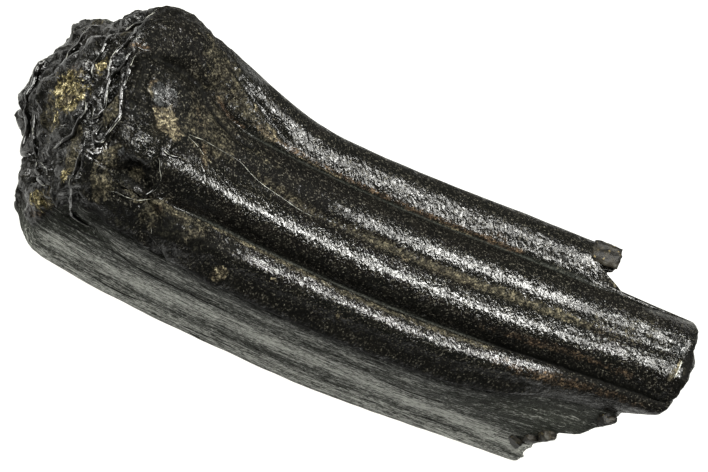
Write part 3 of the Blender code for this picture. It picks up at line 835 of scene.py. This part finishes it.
def layLines(name, tooth, lines):
    # Draws each (points, radius, lift) on the tooth's skin as a thin raised line
    skin = BVHTree.FromObject(tooth, bpy.context.evaluated_depsgraph_get())
    curve = bpy.data.curves.new(name, "CURVE")
    curve.dimensions = "3D"
    curve.bevel_depth = mm
    curve.bevel_resolution = 2
    curve.use_fill_caps = True
    for number, (points, radius, lift) in enumerate(lines):
        run = bent(throughPoints(points)) * mm
        hits = [skin.find_nearest(Vector(p)) for p in run]
        line = np.array([hit[0] + hit[1] * lift * mm for hit in hits])
        for _ in range(lineLook["rounds"]):
            line[1:-1] = (line[:-2] + 2 * line[1:-1] + line[2:]) / 4
        spline = curve.splines.new("POLY")
        spline.points.add(len(line) - 1)
        for k, (point, place) in enumerate(zip(spline.points, line)):
            toEnd = min(k, len(line) - 1 - k) / (len(line) - 1)
            ends = min(1, lineLook["taper"] * toEnd + lineLook["tip"])
            where = Vector((k * lineLook["unevenEvery"], number * 3.7, 0.5))
            uneven = 1 + lineLook["uneven"] * noise.noise(where)
            point.co = (*place, 1)
            point.radius = radius * ends * uneven
    drawn = placed("drawn_lines", curve)
    bpy.context.view_layer.update()
    mesh = bpy.data.meshes.new_from_object(drawn.evaluated_get(bpy.context.evaluated_depsgraph_get()))
    mesh.name = name
    bpy.data.objects.remove(drawn, do_unlink=True)
    return meshPiece(name, mesh)


# small stones stuck to the root end: middle on the straight axis, half sizes in mm, and turn in degrees
stones = {
    "nub on rib A": ((28.65, 12, 2.15), (1.75, 1.4, 1.7), 4),
    "dark stone": ((33, -8, -9.4), (0.9, 0.8, 1.4), 30),
    "brown stone": ((31.8, -8.6, -11), (0.8, 0.6, 1.1), 15),
    "low stone": ((30.7, -9.1, -13), (0.9, 0.5, 1.2), -20),
    "far stone": ((37, -5.4, -2.7), (0.9, 0.7, 1.2), 35),
}


# cuts of each cube, the ball's radius, how round a stone is and how lumpy
stoneShape = {"cuts": 7, "ball": 1.15, "round": 0.45, "lumpy": 0.22, "lumpSize": 1.3}


def makeStones():
    bm = bmesh.new()
    for number, (middle, halves, turn) in enumerate(stones.values()):
        first = len(bm.verts)
        bmesh.ops.create_cube(bm, size=2)
        bm.edges.ensure_lookup_table()
        bmesh.ops.subdivide_edges(bm, edges=bm.edges[-12:], cuts=stoneShape["cuts"], use_grid_fill=True)
        bm.verts.ensure_lookup_table()
        place = Matrix.Translation(Vector(bent([middle])[0]) * mm)
        place @= Matrix.Rotation(math.radians(turn), 4, "Z")
        for v in bm.verts[first:]:
            v.co = v.co.lerp(v.co.normalized() * stoneShape["ball"], stoneShape["round"])
            where = v.co * stoneShape["lumpSize"] + Vector((number * 7.1, 0, 0))
            v.co *= 1 + stoneShape["lumpy"] * noise.fractal(where, 1.0, 2.1, 3)
            v.co = place @ Vector(c * half * mm for c, half in zip(v.co, halves))
    bmesh.ops.recalc_face_normals(bm, faces=bm.faces)
    return bmeshPiece("root_stones", bm)


class Wire:
    # A socket that can be used in sums: each operator adds its Math node
    def __init__(self, socket):
        self.socket = socket

    def math(self, operation, *operands, clamp=False):
        tree = self.socket.id_data
        node = tree.nodes.new("ShaderNodeMath")
        node.operation = operation
        node.use_clamp = clamp
        for target, value in zip(node.inputs, operands):
            if isinstance(value, Wire):
                tree.links.new(value.socket, target)
            else:
                target.default_value = value
        return Wire(node.outputs[0])

    def __add__(self, other):
        return self.math("ADD", self, other)

    def __sub__(self, other):
        return self.math("SUBTRACT", self, other)

    def __rsub__(self, other):
        return self.math("SUBTRACT", other, self)

    def __mul__(self, other):
        return self.math("MULTIPLY", self, other)

    def power(self, exponent):
        return self.math("POWER", self.math("ABSOLUTE", self), exponent)

    def distance(self, value):
        return self.math("ABSOLUTE", self - value)

    def clamped(self):
        return self.math("ADD", self, 0, clamp=True)

    __radd__ = __add__
    __rmul__ = __mul__


class Finish:
    # One material; every node but Math comes from add()
    def __init__(self, name):
        self.material = bpy.data.materials.new(name)
        self.material.use_nodes = True
        self.tree = self.material.node_tree
        self.tree.nodes.clear()

    def add(self, kind, settings, sockets, output=0):
        node = self.tree.nodes.new(kind)
        for name, value in settings.items():
            setattr(node, name, value)
        for name, value in sockets.items():
            if isinstance(value, Wire):
                self.tree.links.new(value.socket, node.inputs[name])
            else:
                node.inputs[name].default_value = value
        return Wire(node.outputs[output]) if node.outputs else node

    def mask(self, name):
        return self.add("ShaderNodeAttribute", {"attribute_name": name}, {}, "Fac")

    def noise(self, where, scale, detail=2, roughness=0.5, warp=0.0, squeeze=None):
        # A squeeze below 1 draws the pattern out along the tooth
        if squeeze:
            where = self.add("ShaderNodeMapping", {}, {"Vector": where, "Scale": (squeeze, 1, 1)})
        return self.add("ShaderNodeTexNoise", {}, {
            "Vector": where, "Scale": scale, "Detail": detail, "Roughness": roughness, "Distortion": warp})

    def turned(self, where, angle, size, middle=(0, 0, 0)):
        # Turned about z by degrees and drawn out by the sizes
        return self.add("ShaderNodeMapping", {"vector_type": "TEXTURE"}, {
            "Vector": where, "Location": middle, "Rotation": (0, 0, math.radians(angle)), "Scale": size})

    def rise(self, value, start, end):
        return self.add("ShaderNodeMapRange", {"interpolation_type": "SMOOTHSTEP"},
                        {"Value": value, "From Min": start, "From Max": end})

    def thinLines(self, noise, outer, inner):
        # Lines where a noise passes its middle value, from faint at outer to full at inner
        return self.rise(noise.distance(0.5), outer, inner)

    def mix(self, share, under, over):
        # Colours are sockets, linear values or six hex digits
        under, over = (tint(colour) if isinstance(colour, str) else colour for colour in (under, over))
        return self.add("ShaderNodeMix", {"data_type": "RGBA"}, {0: share, 6: under, 7: over}, 2)

    def chips(self, where, scale):
        # Heights of flat chips: each cell of the pattern slopes its own way
        cells = {"Vector": where, "Scale": scale}
        middle = self.add("ShaderNodeTexVoronoi", {}, cells, "Position")
        tilt = self.add("ShaderNodeTexVoronoi", {}, cells, "Color")
        slope = self.add("ShaderNodeVectorMath", {"operation": "SUBTRACT"}, {0: tilt, 1: (0.5, 0.5, 0.5)})
        away = self.add("ShaderNodeVectorMath", {"operation": "SUBTRACT"}, {0: where, 1: middle})
        return self.add("ShaderNodeVectorMath", {"operation": "DOT_PRODUCT"}, {0: slope, 1: away}, "Value")

    def bump(self, height, distance, strength=1.0):
        return self.add("ShaderNodeBump", {}, {
            "Strength": strength, "Distance": distance, "Height": height})

    def shader(self, colour, roughness, others):
        return self.add("ShaderNodeBsdfPrincipled", {}, {
            "Base Color": colour, "Roughness": roughness, **others})

    def finish(self, shader):
        self.add("ShaderNodeOutputMaterial", {}, {"Surface": shader})
        return self.material


def tint(code):
    # A colour written as six hex digits, as the linear value that sockets take
    parts = [int(code[k:k + 2], 16) / 255 for k in (0, 2, 4)]
    return tuple(p / 12.92 if p <= 0.04045 else ((p + 0.055) / 1.055) ** 2.4 for p in parts) + (1,)


enamelLook = {
    "black": "030302", "brownBlack": "0b0a07", "mottle": "32302a", "speck": "504e45",
    # 'furrow' is the grey of that painted sheen along the creases
    "greyDark": "343631", "grey": "babcb3", "furrow": "2a2c28",
    # each of these has a dark, a middle and a light tone; 'dark' holds the tones of the painted shade
    "rust": ("110c08", "362b21", "62523f"),
    "ochre": ("12100b", "37342a", "625c4b"),
    "gold": ("0d0b07", "544c31", "d0c49b"),
    "pale": ("1c1813", "4b4537", "88806a"),
    "glass": ("0b0b0b", "2e2f2f", "5a5b5a"),
    "dark": ("020202", "080806", "23221c"),
    "softStains": ("rust", "ochre"),
    # scale, detail, roughness, warp and squeeze of each noise
    "noises": {
        "patches": (0.35, 4, 0.6), "specks": (4.6, 2, 0.6), "blotches": (1.3, 3, 0.6),
        "fleck": (2.4, 3, 0.7),
        "gloss": (0.9, 2, 0.5, 0.4), "islands": (1.7, 4, 0.75, 0.3), "pebbles": (1.0, 2, 0.5, 0.5),
        "lumps": (0.9, 2, 0.5), "dimples": (1.6, 2, 0.5), "cracked": (0.22, 1),
        "streaks": (1.1, 6, 0.66, 0.5, 0.06), "hairs": (4.5, 4, 0.65, 0.3, 0.10),
        "grit": (4.0, 3, 0.75, 0, 0.5),
        "crackNoise": (0.8, 2, 0.5, 0.3, 0.045), "hairlineNoise": (1.5, 3, 0.6, 0.8, 0.2),
    },
    "wrinkles": (25, (0.9, 2.0, 1.6), (1.7, 1, 0.5, 0.9)),     # turn, sizes and noise
    # the same, then how wide the lines are
    "creases": ((35, (0.8, 1.7, 1.5), (1.3, 2, 0.5, 1.2), (0.10, 0.02)),
                (-30, (0.8, 1.7, 1.5), (1.1, 2, 0.5, 1.2), (0.08, 0.015))),
    "shinyRoughness": 0.19, "matteRoughness": 0.7,
}


def enamelFinish():
    look = enamelLook
    f = Finish("black enamel")
    laid = f.add("ShaderNodeAttribute", {"attribute_name": "laid"}, {}, "Vector")
    stainsAndShade = {name: f.mask(name) for name in stainAndShadeMasks}
    dull, glossy, furrow, shadow, bright = (f.mask(name) for name in lightMasks)
    grey, rough, onCrown = (f.mask(name) for name in ("greyFace", "rough", "onCrown"))
    noises = (f.noise(laid, *row) for row in look["noises"].values())
    (patches, specks, blotches, fleck, gloss, islands, pebbles, lumps, dimples, cracked,
     streaks, hairs, grit, crackNoise, hairlineNoise) = noises

    # 'bright' lifts the grey tone: painted sheen on the front face
    tone = 0.22 * streaks + 0.40 * hairs + 0.38 * grit + 0.12 * bright - 0.05
    crack = f.thinLines(crackNoise, 0.009, 0.003) * f.rise(cracked, 0.5, 0.58) * grey
    crack = crack + 0.55 * f.thinLines(hairlineNoise, 0.035, 0.008) * grey

    def cover(mask, edge, most):
        # Turns a mask into spotty cover: specks and blotches above the mask's level are painted
        level = 0.35 * specks + 0.45 * fleck + 0.55 * blotches + 0.5 * patches - 1.31 + 0.75 * mask
        return (level * edge + 0.45).clamped() * (mask * 8).clamped() * most

    colour = f.mix(f.rise(patches, 0.42, 0.7), look["black"], look["brownBlack"])
    mottled = f.rise(0.6 * fleck + 0.4 * specks, 0.52, 0.66) * (1 - grey) * (1 - 0.7 * onCrown)
    colour = f.mix(mottled, colour, look["mottle"])
    colour = f.mix(f.rise(specks, 0.62, 0.76) * (1 - grey), colour, look["speck"])
    colour = f.mix(grey, colour, f.mix(f.rise(tone, 0.45, 0.63), look["greyDark"], look["grey"]))
    # painted sheen: the creases are painted an even dark grey
    colour = f.mix((furrow * 0.8).clamped(), colour, look["furrow"])
    covers = {}
    for name, mask in stainsAndShade.items():
        dark, middle, light = look[name]
        maskTone = f.mix(f.rise(islands, 0.40, 0.52), dark, middle)
        maskTone = f.mix(f.rise(islands, 0.52, 0.64), maskTone, light)
        covers[name] = cover(mask, 4, 0.8) if name in look["softStains"] else cover(mask, 7, 1)
        colour = f.mix(covers[name], colour, maskTone)
    colour = f.mix(f.rise(specks, 0.53, 0.41) * 0.8 * (1 - grey), colour, look["black"])
    colour = f.mix((shadow + crack).clamped(), colour, look["black"])

    # heights in mm: wrinkles across the ribs, pebbles and fine grain, and streaks on the grey faces
    turn, sizes, row = look["wrinkles"]
    wrinkles = f.noise(f.turned(laid, turn, sizes), *row)
    folded = [f.thinLines(f.noise(f.turned(laid, turn, sizes), *row), *width)
              for turn, sizes, row, width in look["creases"]]
    creases = (folded[0] + folded[1]).clamped() * (1 - grey)
    skin = 0.17 * wrinkles + 0.13 * pebbles - 0.02 * creases
    height = skin * (1 - 0.85 * grey) * (1 - 0.6 * furrow) - 0.05 * crack
    height = height + (0.08 * streaks + 0.12 * hairs + 0.26 * grit) * grey
    height = height + rough * 0.16 * lumps + glossy * 0.22 * dimples
    chipped = 0.6 * f.chips(laid, 1.1) + 0.25 * f.chips(laid, 2.8)
    height = height + chipped * (0.15 * rough + 0.5 * onCrown + 1.6 * stainsAndShade["glass"])
    bump = f.bump(height + onCrown * 0.05 * fleck, mm)

    roughness = look["shinyRoughness"] + 0.23 * grey - 0.05 * onCrown + 0.2 * furrow + 0.12 * mottled
    roughness = (roughness - 0.06 * glossy).clamped()
    shiny = f.shader(colour, roughness, {"IOR": 1.55, "Normal": bump})
    matte = f.shader(colour, look["matteRoughness"], {"Specular IOR Level": 0.05, "Normal": bump})
    worn = dull * (0.35 + 0.65 * f.rise(blotches, 0.3, 0.5)) * 0.92
    worn = worn + rough * (1 - onCrown) * f.rise(blotches, 0.2, 0.45) * 0.6
    worn = worn + onCrown * f.rise(gloss, 0.54, 0.44) * 0.6
    dusty = 0.25 * covers["rust"] + 0.5 * covers["ochre"] + 0.7 * covers["gold"] + 0.8 * covers["pale"]
    dusty = dusty + 0.9 * furrow + grey * f.rise(tone, 0.61, 0.45) * 0.85
    share = (worn + dusty).clamped() * (1 - 0.9 * glossy.clamped()) + shadow + crack + 0.35 * creases
    return f.finish(f.add("ShaderNodeMixShader", {}, {0: share.clamped(), 1: shiny, 2: matte}))


# scales are per metre; each colour row is its range of the noise and its colour
stoneLook = {
    "patches": (500, 4, 0.65), "specks": (2200, 2, 0.6),
    "base": "080705", "brown": (0.44, 0.58, "201d16"), "grey": (0.56, 0.64, "2a2924"),
    "tan": (0.62, 0.72, "544b33"), "bumpDepth": 0.3 * mm,
}
crestLook = {"mottle": (700, 3, 0.6), "range": (0.42, 0.62), "fine": (1600, 2), "bumpDepth": 0.15 * mm}


def stoneFinish():
    f = Finish("brown stone")
    where = f.add("ShaderNodeTexCoord", {}, {}, "Object")
    patches, specks = (f.noise(where, *stoneLook[name]) for name in ("patches", "specks"))
    colour = stoneLook["base"]
    for noise, name in ((patches, "brown"), (patches, "grey"), (specks, "tan")):
        start, end, code = stoneLook[name]
        colour = f.mix(f.rise(noise, start, end), colour, code)
    bump = f.bump(patches + 0.3 * specks, stoneLook["bumpDepth"])
    return f.finish(f.shader(colour, 0.45 + 0.2 * patches, {"Specular IOR Level": 0.2, "Normal": bump}))


def crestFinish(name, dark, light, roughness):
    f = Finish(name)
    where = f.add("ShaderNodeTexCoord", {}, {}, "Object")
    mottle = f.noise(where, *crestLook["mottle"])
    colour = f.mix(f.rise(mottle, *crestLook["range"]), dark, light)
    bump = f.bump(f.noise(where, *crestLook["fine"]), crestLook["bumpDepth"], 0.7)
    return f.finish(f.shader(colour, roughness + 0.2 * mottle, {"IOR": 1.5, "Normal": bump}))


# the table top glows by its own emission: a painted pool of white light where the tooth lies, falling off
# to grey further out
tableLook = {
    "half": 1.6, "base": (0.05, 0.05, 0.05, 1), "roughness": 0.9, "white": (1.08, 1.08, 1.02, 1),
    "far": (0.16, 0.16, 0.16, 1), "centre": (0.0061, 0.0062, 0), "turn": 22, "reach": (0.054, 0.038, 1),
    "fadesBy": 2.4, "corners": 4,
}


def makeTable():
    bm = bmesh.new()
    bmesh.ops.create_grid(bm, x_segments=1, y_segments=1, size=tableLook["half"])
    table = bmeshPiece("table_top", bm)
    f = Finish("white table")
    place = f.add("ShaderNodeTexCoord", {}, {}, "Object")
    turned = f.turned(place, tableLook["turn"], tableLook["reach"], tableLook["centre"])
    across, down = (f.add("ShaderNodeSeparateXYZ", {}, {"Vector": turned}, axis) for axis in ("X", "Y"))
    corners = tableLook["corners"]
    reach = (across.power(corners) + down.power(corners)).power(1 / corners)
    shine = f.mix(f.rise(reach, tableLook["fadesBy"], 1.0), tableLook["far"], tableLook["white"])
    shader = f.shader(tableLook["base"], tableLook["roughness"],
                      {"Emission Color": shine, "Emission Strength": 1.0})
    table.data.materials.append(f.finish(shader))


# distances and sizes in mm; aim is in pixels of the picture from the tooth's own place
studio = {
    "seenFrom": (-0.26, -0.25, 0.933), "roll": 24, "pixelsPerMm": 8.6, "distance": 600,
    "aim": (14.2, 32), "imageWidth": 708, "sensor": 36,
    "world": 0.04, "lightColour": (1, 0.995, 0.95), "lightDistance": 500,
    # direction, size and watts
    "lights": {"strip_light": ((0.24, 0.22, 0.90), (520, 134), 10.4),
               "fill_light": ((-0.80, 0.15, 0.55), (300, 300), 5.0)},
}


def squareTo(toward):
    # Two directions square to this one, the first as near to x as it can be
    along = (Vector((1, 0, 0)) - toward * toward.x).normalized()
    return along, toward.cross(along)


def setUp(name, data, right, up, back, place):
    # Puts a camera or light at a place in mm, facing away from back
    thing = placed(name, data)
    thing.matrix_world = Matrix.Translation(place * mm) @ Matrix((right, up, back)).transposed().to_4x4()
    return thing


def softBox(name, direction, size, watts, aim):
    toLight = Vector(direction).normalized()
    light = bpy.data.lights.new(name, "AREA")
    light.shape = "RECTANGLE"
    light.size, light.size_y = (s * mm for s in size)
    light.energy = watts
    light.color = studio["lightColour"]
    setUp(name, light, *squareTo(toLight), toLight, aim + toLight * studio["lightDistance"])


def makeStudio():
    back = Vector(studio["seenFrom"]).normalized()
    along, across = squareTo(back)
    roll = math.radians(studio["roll"])
    right = math.cos(roll) * along + math.sin(roll) * across
    up = -math.sin(roll) * along + math.cos(roll) * across
    scale = studio["pixelsPerMm"]
    aim = right * studio["aim"][0] / scale + up * studio["aim"][1] / scale + Vector(form["place"])

    view = bpy.data.cameras.new("photo_view")
    view.sensor_width = studio["sensor"]
    view.lens = view.sensor_width * scale * studio["distance"] / studio["imageWidth"]
    view.clip_end = 20
    camera = setUp("photo_view", view, right, up, back, aim + back * studio["distance"])
    bpy.context.scene.camera = camera
    for name, (direction, size, watts) in studio["lights"].items():
        softBox(name, direction, size, watts, aim)

    world = bpy.data.worlds.new("studio")
    world.use_nodes = True
    background = world.node_tree.nodes["Background"].inputs
    background["Color"].default_value = (1, 1, 1, 1)
    background["Strength"].default_value = studio["world"]
    bpy.context.scene.world = world
    bpy.context.scene.view_settings.view_transform = "Standard"
    bpy.context.scene.view_settings.look = "None"
    print("camera and lights:", len(studio["lights"]), "lights")


makeTable()
makeStudio()
toothPiece = makeTooth()
toothPiece.data.materials.append(enamelFinish())
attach(toothPiece, "root")
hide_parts("horse_tooth")

stonePiece = makeStones()
stonePiece.data.materials.append(stoneFinish())
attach(stonePiece, "root")

sunk = crestShape["sunk"]
walls = [(points, crestShape["wallShare"] * wall, lift - sunk)
         for points, wall, lift, _, _ in crests.values() if wall]
edges = [(points, crestShape["edgeShare"] * edge, lift + crestShape["edgeLift"] * wall - sunk)
         for points, wall, lift, edge, _ in crests.values() if edge]
edges += [(onOutline(points), radius, crestShape["seamLift"]) for points, radius in seams.values()]
splits = [(onOutline(points), radius, 0) for points, radius in cracks.values()]
# the lines of each piece, its dark and light colour and its least roughness
# crest_edges holds painted highlights along the crest tops and on the root lip, and the pale seams
for name, lines, look in (("enamel_crests", walls, ("030302", "0f0e0c", 0.1)),
                          ("crest_edges", edges, ("2a2a26", "8a8a80", 0.25)),
                          ("front_cracks", splits, ("040403", "0b0b09", 0.6))):
    piece = layLines(name, toothPiece, lines)
    piece.data.materials.append(crestFinish(name.replace("_", " "), *look))
    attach(piece, "root")
